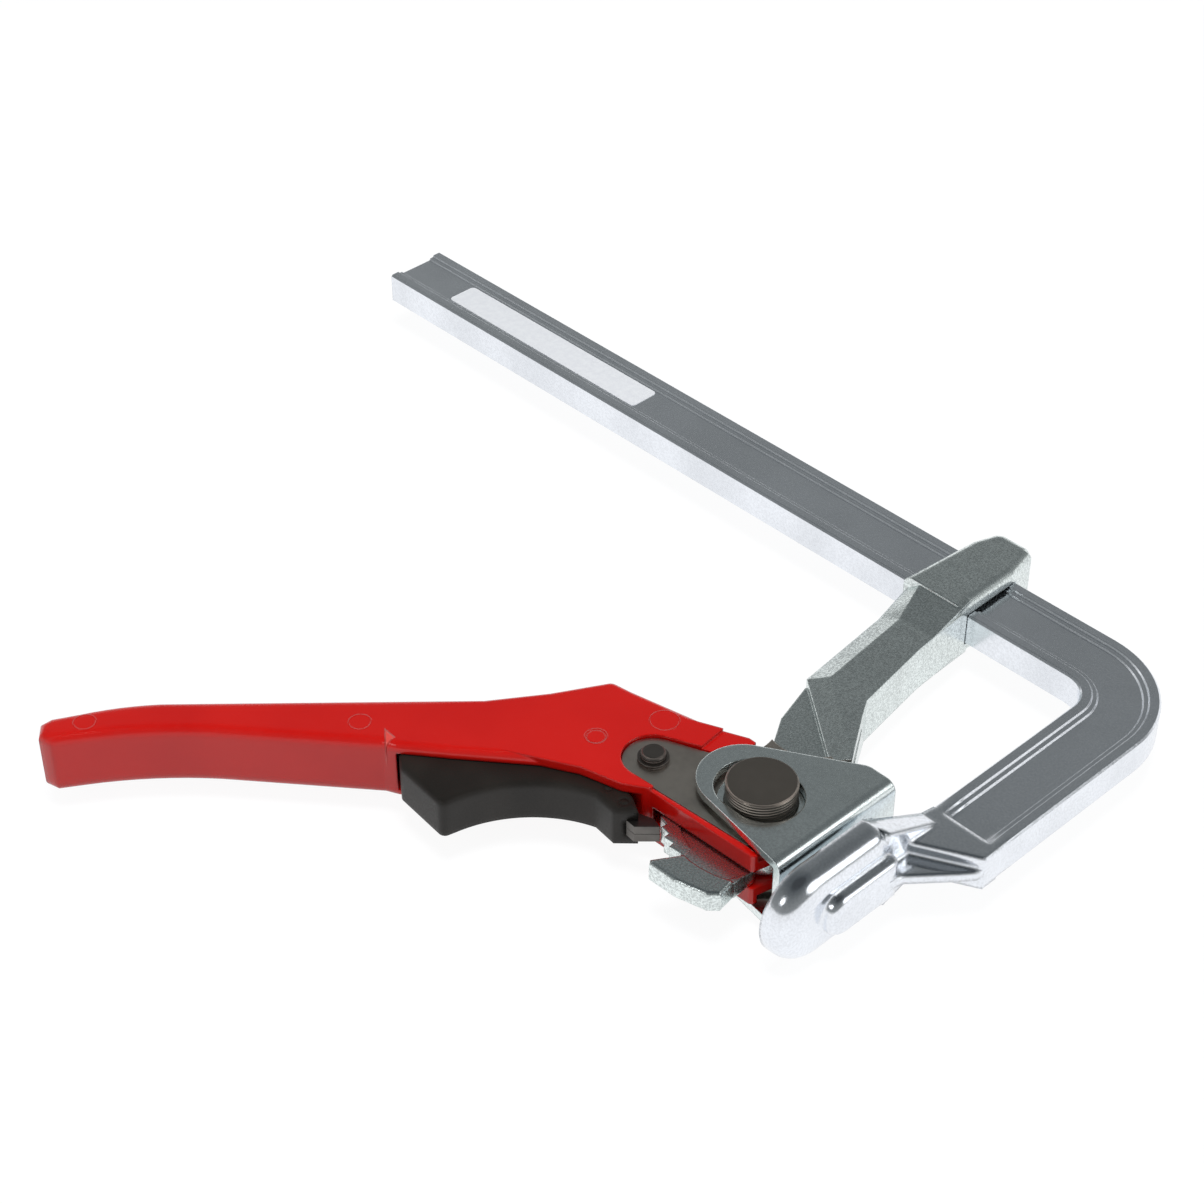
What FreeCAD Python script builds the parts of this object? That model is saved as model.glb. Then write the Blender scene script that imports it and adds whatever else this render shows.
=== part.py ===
# Quick release bar clamp: a forged rail with its fixed jaw, a sliding arm that carries a cam lever,
# the pressure bracket that the cams push, and the trigger that lifts the pawl off the ratchet.
#
# The clamp lies flat on its side. The origin is the centre of the fixed jaw's clamping face.
# X is the opening direction, from the fixed jaw toward the rail's far end.
# Y runs from the rail toward the jaw tips, and Z is up. All sizes are in millimetres.
import FreeCAD, Part
import math
import os
import re

from FreeCAD import Placement, Rotation, Vector

doc = FreeCAD.newDocument("QuickReleaseBarClamp")
sheet = doc.addObject("Spreadsheet::Sheet", "Sizes")

# Driving sizes
SIZES = {
    # rail and fixed jaw forging
    "reach": 112.0,
    "rail_end": 294.4,
    "rail_width": 22.0,
    "rail_height": 10.5,
    "rail_edge": 0.6,
    "flange_width": 3.1,
    "riser_run": 0.45,
    "ledge_depth": 0.65,
    "ledge_width": 1.1,
    "web_thickness": 7.9,
    "bend_inner_radius": 9.0,
    "bend_start": 4.9,
    "arm_top": 34.0,
    "jaw_half_height": 13.5,
    "jaw_tip": 27.0,
    "jaw_foot": 16.0,
    "jaw_foot_half": 7.5,
    "jaw_foot_corner": 14.0,
    "jaw_foot_corner_half": 11.5,
    "jaw_foot_side": 10.0,
    "jaw_depth": 8.6,
    "jaw_dome": 6.0,
    "boss_back": 12.3,
    "boss_half_height": 6.4,
    "boss_foot": 12.0,
    "boss_tip": 13.5,
    "boss_edge": 2.4,
    "neck_web": 2.7,
    "neck_front": 0.5,
    "flare_start": 30.0,
    "flare_start_back": 9.0,
    "flare_start_front": 3.6,
    "flare_end": 11.5,
    "flare_end_back": 8.0,
    "flare_margin": 1.0,
    # blank label in the rail's web
    "label_start": 182.5,
    "label_length": 88.4,
    "label_margin": 0.5,
    "label_thickness": 0.15,
    "label_corner": 1.5,
    # pivot
    "pivot_x": 25.4,
    "pivot_y": 0.0,
    "pin_radius": 9.55,
    "pin_half_length": 16.3,
    "pin_chamfer": 0.5,
    "running_fit": 0.05,
    # sliding arm forging
    "slide_clearance": 0.25,
    "eye_half_height": 9.6,
    "eye_outer_wall": 11.4,
    "eye_top": 98.0,
    "eye_corner": 1.6,
    "eye_edge_radius": 3.0,
    "shoulder_start": 84.0,
    "shoulder_end": 103.0,
    "shoulder_inset": 0.9,
    "shoulder_bevel": 3.0,
    "beam_half_height": 7.5,
    "beam_bevel_width": 6.2,
    "beam_bevel_depth": 2.6,
    "plate_half_height": 2.7,
    "plate_relief": 0.4,
    "relief_radius": 21.0,
    "tail_half_height": 3.3,
    "tail_edge_radius": 1.2,
    "eye_plate_radius": 15.5,
    "tooth_valley_radius": 24.4,
    "tooth_tip_radius": 25.9,
    "tooth_pitch": 8.4,
    "tooth_steep": 1.9,
    "first_tooth": 19.0,
    "tail_side": 77.0,
    "tail_end": 118.0,
    "tail_overlap": 1.6,
    # lever casting
    "lever_half_height": 9.5,
    "lever_step_height": 8.5,
    "lever_edge_radius": 2.4,
    "grip_back_bow": 86.0,
    "grip_finger_bow": 130.0,
    "fork_gap": 3.0,
    "fork_root_radius": 28.0,
    "cheek_radius": 16.0,
    "trigger_gap": 6.6,
    "slot_end_radius": 53.1,
    "slot_end_low": 36.0,
    "slot_end_high": 58.0,
    # cam plates
    "cam_floor": 5.9,
    "cam_thickness": 2.6,
    "cam_clearance": 0.25,
    "cam_start_radius": 19.0,
    "cam_rise": 5.0,
    "cam_link_radius": 8.3,
    # cam rivet
    "rivet_x": 31.2,
    "rivet_y": 8.3,
    "rivet_radius": 3.4,
    "rivet_half_length": 11.4,
    "rivet_chamfer": 0.6,
    "collar_radius": 4.3,
    "collar_height": 1.1,
    "collar_gap": 0.1,
    # washers under the bracket
    "washer_radius": 11.5,
    "washer_thickness": 0.9,
    # pressure bracket
    "bracket_face": 3.6,
    "bracket_sheet": 2.5,
    "bracket_half_height": 12.3,
    "bracket_low": -27.5,
    "bracket_high": 16.4,
    "bracket_bend": 3.2,
    "bracket_foot_radius": 5.0,
    "bracket_lobe_radius": 12.6,
    "slot_half_width": 10.0,
    "slot_back": 1.85,
    "slot_front": 3.5,
    # trigger, pawl and spring
    "trigger_half_height": 6.3,
    "trigger_edge": 0.7,
    "trigger_finger_bow": 38.0,
    "trigger_pivot_x": 47.3,
    "trigger_pivot_y": 13.8,
    "trigger_pin_radius": 2.5,
    "pawl_thickness": 2.6,
    "pawl_gap": 0.05,
    "pawl_clearance": 0.3,
    "pawl_angle": 52.4,
    "pawl_slot_clearance": 0.15,
    "pawl_rivet_radius": 1.3,
    "spring_wire": 0.8,
    "spring_radius": 2.4,
    "spring_turns": 4.5,
    "spring_seat": 0.3,
    "spring_place": 0.35,
}

# Corner points of the free-form outlines. The lever's, trigger's and arm plate's points count from the pivot.
POINTS = {
    # sliding arm, beam outline
    "beam_jaw_low": (40.2, -98.0),
    "beam_jaw_mid": (38.6, -78.0),
    "beam_jaw_high": (34.2, -51.0),
    "beam_jaw_bend": (30.6, -45.0),
    "beam_jaw_top": (21.2, -30.6),
    "beam_crease_a": (26.5, -27.6),
    "beam_crease_b": (53.4, -47.8),
    "beam_far_mid": (57.2, -82.0),
    "beam_far_low": (61.0, -98.0),
    # sliding arm, eye outline
    "eye_jaw_low": (45.0, 0.0),
    "eye_far_low": (55.4, 0.0),
    "eye_far_mid": (59.6, -125.5),
    "eye_far_high": (62.0, 0.0),
    "eye_jaw_high": (40.4, 0.0),
    "eye_jaw_mid": (40.9, -122.0),
    # neck of the fixed jaw: the thick part, then the thin web that fills its outer corner
    "neck_outer": (0.0, -28.5),
    "neck_inner": (-5.5, -17.6),
    "neck_top": (0.0, -10.0),
    "web_low": (-25.3, -26.5),
    "web_mid": (-22.7, -23.1),
    "web_high": (-13.5, -12.3),
    "web_end": (-11.5, -5.0),
    # thin plate of the arm, from the pivot
    "neck_jaw": (-4.5, -30.9),
    "neck_bend": (4.9, -44.9),
    "neck_low": (12.6, -52.0),
    "neck_far_low": (27.5, -47.0),
    "neck_far": (23.3, -32.7),
    "tail_side_low": (-11.5, 14.4),
    "tail_far_low": (9.1, 31.2),
    "tail_far_high": (8.0, 32.6),
    "tail_middle": (-0.6, 32.3),
    "tail_jaw_high": (-9.8, 29.9),
    "tail_jaw_low": (-12.4, 27.4),
    # lever outline, from the pivot
    "cheek_tip": (-12.4, 16.0),
    "cheek_edge": (22.9, 17.4),
    "cheek_shoulder": (29.5, 21.6),
    "cheek_knuckle": (41.6, 25.0),
    "cheek_trigger": (51.3, 30.3),
    "recess_front": (69.7, 45.6),
    "recess_end": (81.3, 54.7),
    "recess_lip": (84.8, 56.4),
    "grip_finger_start": (118.6, 85.1),
    "grip_finger_end": (142.6, 113.7),
    "grip_tip_finger": (146.2, 119.5),
    "grip_tip_end": (150.2, 120.6),
    "grip_tip_corner": (153.9, 117.6),
    "grip_tip_back": (153.9, 114.0),
    "grip_back_end": (150.4, 107.3),
    "grip_back_start": (138.5, 88.6),
    "knee_back": (79.6, 24.8),
    "knee_high": (69.6, 10.0),
    "knee_corner": (61.0, -5.6),
    "knee_front": (54.5, -6.6),
    "chin": (26.2, -12.9),
    "chin_low": (19.4, -15.9),
    # slot for the trigger, from the pivot
    "slot_inner_front": (17.0, 19.6),
    "slot_inner_mid": (36.0, 17.2),
    "slot_inner_pivot": (42.2, 6.6),
    "slot_inner_low": (54.6, 5.6),
    "slot_inner_back": (71.5, 24.2),
    "slot_outer": (50.0, 70.0),
    # trigger outline, from the pivot
    "trigger_nose": (26.0, 27.8),
    "trigger_tooth": (21.5, 23.2),
    "trigger_throat": (26.4, 20.4),
    "trigger_neck": (37.0, 18.0),
    "trigger_heel_front": (43.6, 8.2),
    "trigger_heel_back": (52.4, 8.6),
    "trigger_spine": (64.4, 25.2),
    "trigger_tail_inner": (83.3, 48.5),
    "trigger_tail_mid": (81.4, 53.7),
    "trigger_tail_outer": (76.9, 57.0),
    "trigger_hook": (58.4, 58.6),
    "trigger_hook_low": (57.4, 54.4),
    "trigger_finger": (33.5, 27.0),
    # pawl outline, from the pivot
    "pawl_inner": (18.9, 19.8),
    "pawl_inner_back": (24.4, 21.4),
    "pawl_rear_low": (35.6, 20.4),
    "pawl_rear_high": (36.6, 24.6),
    "pawl_outer": (20.6, 25.6),
    "pawl_rivet_front": (26.4, 23.6),
    "pawl_rivet_rear": (33.2, 22.6),
    # cam plate corners, from the pivot
    "cam_shoulder": (-8.0, 13.9),
    "cam_crotch": (18.0, -6.0),
    "cam_heel": (15.0, -20.0),
    # pressure bracket, far corner of the triangle
    "bracket_peak": (68.4, 6.0),
}

CELLS = dict(SIZES)
for point_name, (point_x, point_y) in POINTS.items():
    CELLS[point_name + "_x"] = point_x
    CELLS[point_name + "_y"] = point_y
for row, (alias, number) in enumerate(CELLS.items(), start=1):
    sheet.set(f"A{row}", alias)
    sheet.set(f"B{row}", str(number))
    sheet.setAlias(f"B{row}", alias)
doc.recompute()


def bound(text):
    """The expression with each size's name pointed at its cell."""
    return re.sub(r"[a-z][a-z_]*", lambda m: "Sizes." + m[0] if m[0] in CELLS else m[0], text)


def size(text):
    """The number that an expression of sizes gives."""
    return float(sheet.evalExpression(bound(text)))


def point(name, origin=None):
    """A named corner as two expressions, counted from the pivot when origin says so."""
    if origin:
        return (f"{origin}_x + {name}_x", f"{origin}_y + {name}_y")
    return (f"{name}_x", f"{name}_y")


def on_pivot(name, radius=None):
    corner = point(name, "pivot")
    return corner + (radius,) if radius else corner


def polar(radius, angle):
    """A corner at a radius and angle about the pivot."""
    return (f"pivot_x + ({radius}) * cos({angle})", f"pivot_y + ({radius}) * sin({angle})")


# Sketch helpers


def new_body(label):
    body = doc.addObject("PartDesign::Body", "Body_" + label)
    body.Label = label
    return body


def new_sketch(body, name, role, lift="0", shift="0"):
    """An empty sketch on one of the body's own origin planes, lifted along its normal."""
    sketch = body.newObject("Sketcher::SketchObject", name)
    plane = next(o for o in body.Origin.OriginFeatures if o.Role == role)
    sketch.AttachmentSupport = [(plane, "")]
    sketch.MapMode = "FlatFace"
    sketch.setExpression("AttachmentOffset.Base.z", bound(lift))
    sketch.setExpression("AttachmentOffset.Base.x", bound(shift))
    return sketch


def constrain(sketch, kind, *where, value=None):
    import Sketcher

    if value is None:
        return sketch.addConstraint(Sketcher.Constraint(kind, *where))
    index = sketch.addConstraint(Sketcher.Constraint(kind, *where, size(value)))
    sketch.setExpression(f"Constraints[{index}]", bound(value))
    return index


def place(sketch, geometry, end, x, y):
    """Ties one point of the sketch to its two expressions."""
    constrain(sketch, "DistanceX", -1, 1, geometry, end, value=x)
    constrain(sketch, "DistanceY", -1, 1, geometry, end, value=y)


def add_circle(sketch, x, y, radius):
    circle = Part.Circle(Vector(size(x), size(y), 0), Vector(0, 0, 1), size(radius))
    index = sketch.addGeometry(circle)
    place(sketch, index, 3, x, y)
    constrain(sketch, "Radius", index, value=radius)


def add_stadium(sketch, x_low, x_high, y, radius):
    """A slot with round ends, from one centre to the other along the sketch's own x."""
    low, high, level, r = size(x_low), size(x_high), size(y), size(radius)
    axis = Vector(0, 0, 1)
    half = math.pi / 2
    right = sketch.addGeometry(Part.ArcOfCircle(Part.Circle(Vector(high, level, 0), axis, r), -half, half))
    left = sketch.addGeometry(Part.ArcOfCircle(Part.Circle(Vector(low, level, 0), axis, r), half, 3 * half))
    top = sketch.addGeometry(Part.LineSegment(Vector(high, level + r, 0), Vector(low, level + r, 0)))
    base = sketch.addGeometry(Part.LineSegment(Vector(low, level - r, 0), Vector(high, level - r, 0)))
    constrain(sketch, "Tangent", right, 2, top, 1)
    constrain(sketch, "Tangent", top, 2, left, 1)
    constrain(sketch, "Tangent", left, 2, base, 1)
    constrain(sketch, "Tangent", base, 2, right, 1)
    place(sketch, right, 3, x_high, y)
    constrain(sketch, "DistanceX", -1, 1, left, 3, value=x_low)
    constrain(sketch, "Radius", right, value=radius)


def add_outline(sketch, corners, bows=None):
    """A closed outline. A corner is (x, y) or (x, y, radius of its rounding). bows gives the radius of
    the arc that runs from a corner to the next one: positive bulges out of a counter-clockwise outline."""
    bows = bows or {}
    count = len(corners)
    spots = [Vector(size(c[0]), size(c[1]), 0) for c in corners]
    starts, ends, arcs = list(spots), list(spots), {}
    for i, corner in enumerate(corners):
        if len(corner) < 3:
            continue
        radius = size(corner[2])
        back = (spots[i - 1] - spots[i]).normalize()
        ahead = (spots[(i + 1) % count] - spots[i]).normalize()
        half = back.getAngle(ahead) / 2
        starts[i] = spots[i] + ahead * (radius / math.tan(half))
        ends[i] = spots[i] + back * (radius / math.tan(half))
        centre = spots[i] + (back + ahead).normalize() * (radius / math.sin(half))
        turn_left = back.cross(ahead).z < 0
        first, last = (ends[i], starts[i]) if turn_left else (starts[i], ends[i])
        arcs[i] = (radius, centre, first, last, turn_left)
    edges = []
    for i in range(count):
        first, last = starts[i], ends[(i + 1) % count]
        if i in bows:
            radius = size(bows[i])
            chord = last - first
            side = Vector(chord.y, -chord.x, 0).normalize()
            drop = math.sqrt(radius**2 - (chord.Length / 2) ** 2)
            middle = (first + last) / 2
            sign = 1 if radius > 0 else -1
            centre = middle - side * sign * drop
            top = centre + side * sign * abs(radius)
            shape = Part.Arc(first, top, last)
            swapped = radius < 0
        else:
            shape = Part.LineSegment(first, last)
            swapped = False
        index = sketch.addGeometry(shape)
        edges.append((index, 2 if swapped else 1, 1 if swapped else 2))
    for i, corner in enumerate(corners):
        into, out = edges[i - 1], edges[i]
        if i not in arcs:
            constrain(sketch, "Coincident", into[0], into[2], out[0], out[1])
            place(sketch, out[0], out[1], corner[0], corner[1])
            continue
        radius, centre, first, last, turn_left = arcs[i]
        circle = Part.Circle(centre, Vector(0, 0, 1), radius)
        a = math.atan2(first.y - centre.y, first.x - centre.x)
        b = math.atan2(last.y - centre.y, last.x - centre.x)
        arc = sketch.addGeometry(Part.ArcOfCircle(circle, a, b if b > a else b + 2 * math.pi))
        constrain(sketch, "Tangent", into[0], into[2], arc, 1 if turn_left else 2)
        constrain(sketch, "Tangent", arc, 2 if turn_left else 1, out[0], out[1])
        constrain(sketch, "Radius", arc, value=corner[2])
        mark = sketch.addGeometry(Part.Point(spots[i]), True)
        place(sketch, mark, 1, corner[0], corner[1])
        constrain(sketch, "PointOnObject", mark, 1, into[0])
        constrain(sketch, "PointOnObject", mark, 1, out[0])
    for i in bows:
        constrain(sketch, "Radius", edges[i][0], value=bows[i].replace("-", ""))


# Feature helpers


def extrude(body, kind, name, sketch, length, reverse=False, both=False):
    """A Pad or a Pocket of the sketch."""
    feature = body.newObject("PartDesign::" + kind, name)
    feature.Profile = sketch
    feature.setExpression("Length", bound(length))
    if both:
        feature.SideType = "Symmetric"
    feature.Reversed = reverse
    doc.recompute()
    return feature


def pad(body, name, sketch, length, **how):
    return extrude(body, "Pad", name, sketch, length, **how)


def pocket(body, name, sketch, length, **how):
    before = body.Shape.Volume
    feature = extrude(body, "Pocket", name, sketch, length, **how)
    if not feature.Shape.Volume < before - 1e-3:
        raise RuntimeError(name + " cuts nothing")
    return feature


def block_section(sketch, back, front, half):
    """A rectangle that is upright on a sketch of the XZ plane."""
    add_outline(sketch, [(back, f"-({half})"), (front, f"-({half})"), (front, half), (back, half)])


def loft(body, name, sketches):
    """A ruled block through the sketches in turn."""
    feature = body.newObject("PartDesign::AdditiveLoft", name)
    feature.Profile = sketches[0]
    feature.Sections = sketches[1:]
    feature.Ruled = True
    doc.recompute()
    return feature


def dress(body, kind, name, amount, chosen, second=None):
    """A Fillet or a Chamfer on the edges of the body's last feature that chosen accepts."""
    base = body.Tip
    names = [f"Edge{i}" for i, edge in enumerate(base.Shape.Edges, start=1) if chosen(edge)]
    if not names:
        raise RuntimeError(name + " finds no edge")
    feature = body.newObject("PartDesign::" + kind, name)
    feature.Base = (base, names)
    feature.setExpression("Radius" if kind == "Fillet" else "Size", bound(amount))
    if second:
        feature.ChamferType = "Two distances"
        feature.setExpression("Size2", bound(second))
    doc.recompute()
    return feature


def middle(edge):
    return edge.valueAt((edge.FirstParameter + edge.LastParameter) / 2)


def in_plane(edge, axis, level):
    """True for an edge that lies in the plane where that axis of the frame reads level."""
    box = edge.BoundBox
    return abs(getattr(box, axis + "Min") - level) < 1e-4 and abs(getattr(box, axis + "Max") - level) < 1e-4


def at_height(edge, height):
    """True for an edge that lies in the plane z = height."""
    return abs(edge.BoundBox.ZMin - height) < 1e-4 and abs(edge.BoundBox.ZMax - height) < 1e-4


def cylinder(label, x, y, z, radius, height):
    """An upright Part cylinder whose base stands at x, y, z."""
    thing = doc.addObject("Part::Cylinder", "Round_" + label)
    thing.Label = label
    thing.setExpression("Radius", bound(radius))
    thing.setExpression("Height", bound(height))
    thing.setExpression("Placement.Base.x", bound(x))
    thing.setExpression("Placement.Base.y", bound(y))
    thing.setExpression("Placement.Base.z", bound(z))
    return thing


# Rail and fixed jaw


def rail_section(sketch, centre):
    """The forged I section: two flanges, each with a narrow ledge, and a thinner web between them."""
    side = [
        ("rail_width / 2 - flange_width", "rail_height / 2"),
        ("rail_width / 2 - flange_width - riser_run", "rail_height / 2 - ledge_depth"),
        ("rail_width / 2 - flange_width - riser_run - ledge_width", "rail_height / 2 - ledge_depth"),
        ("rail_width / 2 - flange_width - 2 * riser_run - ledge_width", "web_thickness / 2"),
    ]
    corner = [("rail_width / 2", "rail_height / 2 - rail_edge"), ("rail_width / 2 - rail_edge", "rail_height / 2")]
    quarter = corner + side
    upper = quarter + [(f"-({y})", z) for y, z in reversed(quarter)]
    lower = [(f"-({y})", f"-({z})") for y, z in upper]
    add_outline(sketch, [(f"{centre} + {y}", z) for y, z in upper + lower])


def make_rail():
    body = new_body("rail_and_fixed_jaw")
    turn = "(bend_inner_radius + rail_width / 2)"
    make_jaw_head(body)
    straight = new_sketch(body, "RailSection", "YZ_Plane", "bend_start")
    rail_section(straight, "-reach")
    pad(body, "Rail", straight, "rail_end - bend_start")
    corner = new_sketch(body, "BendSection", "YZ_Plane", "bend_start", f"{turn} - reach")
    rail_section(corner, f"-{turn}")
    bend = body.newObject("PartDesign::Revolution", "Bend")
    bend.Profile = corner
    bend.ReferenceAxis = (corner, ["V_Axis"])
    bend.Angle = 90
    bend.Reversed = True
    doc.recompute()
    upright = new_sketch(body, "ArmSection", "XZ_Plane", f"reach - {turn}")
    rail_section(upright, f"bend_start - {turn}")
    pad(body, "FixedArm", upright, f"reach - {turn} - arm_top", reverse=True)
    outer = f"(bend_start - {turn} - rail_width / 2)"
    inner = f"{outer} + rail_width"
    neck = new_sketch(body, "NeckOutline", "XY_Plane")
    add_outline(
        neck,
        [
            (outer, "-arm_top"),
            (inner, "-arm_top"),
            ("-neck_front", "neck_top_y"),
            ("neck_inner_x", "neck_top_y"),
            point("neck_inner"),
            (outer, "neck_outer_y"),
        ],
    )
    pad(body, "Neck", neck, "rail_height", both=True)
    web = new_sketch(body, "WebOutline", "XY_Plane")
    add_outline(
        web,
        [
            (outer, "-arm_top"),
            ("neck_inner_x", "-arm_top"),
            ("neck_inner_x", "web_end_y"),
            point("web_end"),
            point("web_high"),
            point("web_mid"),
            point("web_low"),
            (outer, "neck_outer_y - 1"),
        ],
    )
    pad(body, "NeckWeb", web, "neck_web", both=True)
    foot = new_sketch(body, "FlareFoot", "XZ_Plane", "flare_start")
    block_section(foot, "-flare_start_back", "-flare_start_front", "rail_height / 2")
    head = new_sketch(body, "FlareHead", "XZ_Plane", "flare_end")
    block_section(head, "-flare_end_back", "-0.01", "jaw_half_height - flare_margin")
    loft(body, "Flare", [foot, head])
    return body


def make_jaw_head(body):
    """The jaw is an upright oval pad with a domed back and a low boss, where the neck runs out."""
    outline = new_sketch(body, "JawOutline", "YZ_Plane")
    round_tip = "jaw_half_height - 0.3"
    add_outline(
        outline,
        [
            ("-jaw_foot", "-jaw_foot_half"),
            ("-jaw_foot_corner", "-jaw_foot_corner_half"),
            ("-jaw_foot_side", "-jaw_half_height"),
            ("jaw_tip", "-jaw_half_height", round_tip),
            ("jaw_tip", "jaw_half_height", round_tip),
            ("-jaw_foot_side", "jaw_half_height"),
            ("-jaw_foot_corner", "jaw_foot_corner_half"),
            ("-jaw_foot", "jaw_foot_half"),
        ],
    )
    pad(body, "JawPad", outline, "jaw_depth", reverse=True)
    dress(body, "Fillet", "JawDome", "jaw_dome", lambda e: in_plane(e, "X", -size("jaw_depth")))
    boss = new_sketch(body, "BossOutline", "YZ_Plane")
    add_outline(
        boss,
        [
            ("-boss_foot", "-boss_half_height"),
            ("boss_tip", "-boss_half_height", "boss_half_height - 0.3"),
            ("boss_tip", "boss_half_height", "boss_half_height - 0.3"),
            ("-boss_foot", "boss_half_height"),
        ],
    )
    pad(body, "Boss", boss, "boss_back", reverse=True)
    dress(body, "Fillet", "BossEdge", "boss_edge", lambda e: in_plane(e, "X", -size("boss_back")))


def make_label():
    """A bare sticker lying in the rail's web."""
    body = new_body("rail_label")
    sketch = new_sketch(body, "LabelOutline", "XY_Plane", "web_thickness / 2")
    low, high = "label_start", "label_start + label_length"
    half = "(rail_width / 2 - flange_width - 2 * riser_run - ledge_width - label_margin)"
    add_outline(
        sketch,
        [
            (low, f"-reach - {half}", "label_corner"),
            (high, f"-reach - {half}", "label_corner"),
            (high, f"-reach + {half}", "label_corner"),
            (low, f"-reach + {half}", "label_corner"),
        ],
    )
    pad(body, "Label", sketch, "label_thickness")
    return body


# Sliding arm


def make_eye():
    """The eye that runs on the rail, as a block with rounded edges."""
    body = new_body("arm_eye")
    eye = new_sketch(body, "EyeOutline", "XY_Plane")
    floor = "-reach - rail_width / 2 - eye_outer_wall"
    add_outline(
        eye,
        [
            ("eye_jaw_low_x - eye_corner", f"{floor} + eye_corner"),
            ("eye_jaw_low_x + eye_corner / 2", floor),
            ("eye_far_low_x - eye_corner / 2", floor),
            ("eye_far_low_x + eye_corner", f"{floor} + eye_corner"),
            point("eye_far_mid"),
            ("eye_far_high_x", "-eye_top"),
            ("eye_jaw_high_x", "-eye_top"),
            point("eye_jaw_mid"),
        ],
    )
    pad(body, "Eye", eye, "2 * eye_half_height", both=True)
    level = size("eye_half_height")

    def rounded(edge):
        return middle(edge).y < -size("eye_top") - 1 and (at_height(edge, level) or at_height(edge, -level))

    dress(body, "Fillet", "EyeEdges", "eye_edge_radius", rounded)
    return body


def shoulder_section(sketch, jaw, far, half, width, depth):
    """The beam's section, bevelled at the far side."""
    add_outline(
        sketch,
        [
            (jaw, f"-({half})"),
            (f"{far} - {width}", f"-({half})"),
            (far, f"-({half}) + {depth}"),
            (far, f"{half} - {depth}"),
            (f"{far} - {width}", half),
            (jaw, half),
        ],
    )


def make_sliding_arm():
    eye, tail = make_eye(), make_tail()
    body = new_body("sliding_arm")
    outline = new_sketch(body, "BeamOutline", "XY_Plane")
    beam = ["jaw_low", "far_low", "far_mid", "crease_b", "crease_a", "jaw_top", "jaw_bend", "jaw_high", "jaw_mid"]
    add_outline(outline, [point("beam_" + name) for name in beam])
    pad(body, "Beam", outline, "2 * beam_half_height", both=True)
    top = size("beam_half_height")
    corners = [Vector(*map(size, point("beam_" + name)), 0) for name in ("far_low", "far_mid", "crease_b", "crease_a")]

    def bevelled(edge):
        spot = Vector(middle(edge).x, middle(edge).y, 0)
        level = at_height(edge, top) or at_height(edge, -top)
        return level and any(spot.isEqual((a + b) / 2, 1e-3) for a, b in zip(corners, corners[1:]))

    dress(body, "Chamfer", "Bevel", "beam_bevel_depth", bevelled, second="beam_bevel_width")
    join = body.newObject("PartDesign::Boolean", "EyeOnBeam")
    join.Type = "Fuse"
    join.addObjects([eye])
    doc.recompute()
    start = new_sketch(body, "ShoulderStart", "XZ_Plane", "shoulder_start")
    level = "(shoulder_start + beam_jaw_mid_y) / (beam_jaw_mid_y - beam_jaw_low_y)"
    jaw = f"beam_jaw_mid_x + (beam_jaw_low_x - beam_jaw_mid_x) * {level}"
    run = "(shoulder_start + beam_far_mid_y) / (beam_far_mid_y - beam_far_low_y)"
    far = f"beam_far_mid_x + (beam_far_low_x - beam_far_mid_x) * {run}"
    shoulder_section(start, jaw, f"{far} - 0.1", "beam_half_height", "beam_bevel_width", "beam_bevel_depth")
    end = new_sketch(body, "ShoulderEnd", "XZ_Plane", "shoulder_end")
    jaw, far = "eye_jaw_high_x + shoulder_inset", "eye_far_high_x - shoulder_inset"
    bevel = "shoulder_bevel"
    shoulder_section(end, jaw, far, "eye_half_height - 0.1", bevel, bevel)
    loft(body, "Shoulder", [start, end])
    slot = new_sketch(body, "RailSlot", "YZ_Plane", "beam_far_low_x")
    half_y, half_z = "(rail_width / 2 + slide_clearance)", "(rail_height / 2 + slide_clearance)"
    add_outline(
        slot,
        [
            (f"-reach - {half_y}", f"-{half_z}", "rail_edge"),
            (f"-reach + {half_y}", f"-{half_z}", "rail_edge"),
            (f"-reach + {half_y}", half_z, "rail_edge"),
            (f"-reach - {half_y}", half_z, "rail_edge"),
        ],
    )
    pocket(body, "RailPassage", slot, "3 * rail_width", both=True)
    make_arm_plate(body, tail)
    bore = new_sketch(body, "PivotBore", "XY_Plane")
    add_circle(bore, "pivot_x", "pivot_y", "pin_radius")
    pocket(body, "PivotHole", bore, "4 * plate_half_height", both=True)
    return body


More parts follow.
